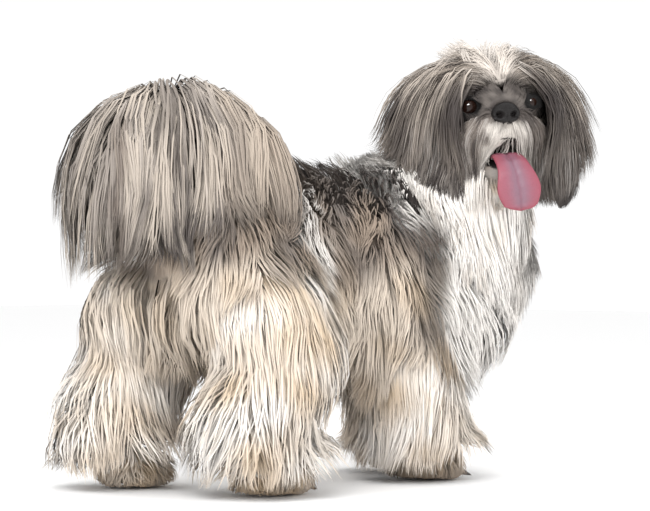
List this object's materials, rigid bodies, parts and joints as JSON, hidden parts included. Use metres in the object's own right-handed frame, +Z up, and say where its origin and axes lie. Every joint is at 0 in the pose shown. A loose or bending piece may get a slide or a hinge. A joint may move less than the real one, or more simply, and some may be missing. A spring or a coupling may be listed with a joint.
{
  "type": "standing shih tzu",
  "caption": "Life-size standing shih tzu in full coat, tail over its back, looking back over its shoulder with its tongue out; rests on its feet",
  "frame": {"origin": "on the floor, under the middle of the whole dog", "axes": "+X forward along the hips, +Y to the dog's left, +Z up"},
  "size_m": [0.4618, 0.307, 0.3933],
  "materials": {
    "saddle_coat": "long dark grey-brown hair with pale and white streaks, silky",
    "tail_coat": "very long silver-cream hair with dark grey streaks, silky",
    "leg_coat": "cream and white hair shaded with tan, soft",
    "white_coat": "white hair, fluffy",
    "face_coat": "grey hair with a white parting and dark round the eyes",
    "ear_coat": "dark grey-brown straight hair",
    "eye": "very dark brown, wet and glossy",
    "nose": "black, pebbled, damp",
    "tongue": "pink, wet, with a groove along the middle",
    "claw": "dark horn, smooth"
  },
  "bodies": {
    "root": {"claw_front_left_1": "claw", "claw_front_left_2": "claw", "claw_front_left_3": "claw", "claw_front_left_4": "claw", "claw_front_right_1": "claw", "claw_front_right_2": "claw", "claw_front_right_3": "claw", "claw_front_right_4": "claw", "claw_hind_left_1": "claw", "claw_hind_left_2": "claw", "claw_hind_left_3": "claw", "claw_hind_left_4": "claw", "claw_hind_right_1": "claw", "claw_hind_right_2": "claw", "claw_hind_right_3": "claw", "claw_hind_right_4": "claw", "ear_left": "ear_coat", "ear_right": "ear_coat", "eye_left": "eye", "eye_right": "eye", "head": "face_coat", "leg_front_left": "leg_coat", "leg_front_right": "leg_coat", "leg_hind_left": "leg_coat", "leg_hind_right": "leg_coat", "lower_jaw": "white_coat", "neck": "white_coat", "nose": "nose", "paw_front_left": "leg_coat", "paw_front_right": "leg_coat", "paw_hind_left": "leg_coat", "paw_hind_right": "leg_coat", "tail": "tail_coat", "tongue": "tongue", "torso": "saddle_coat"}
  },
  "joints": []
}
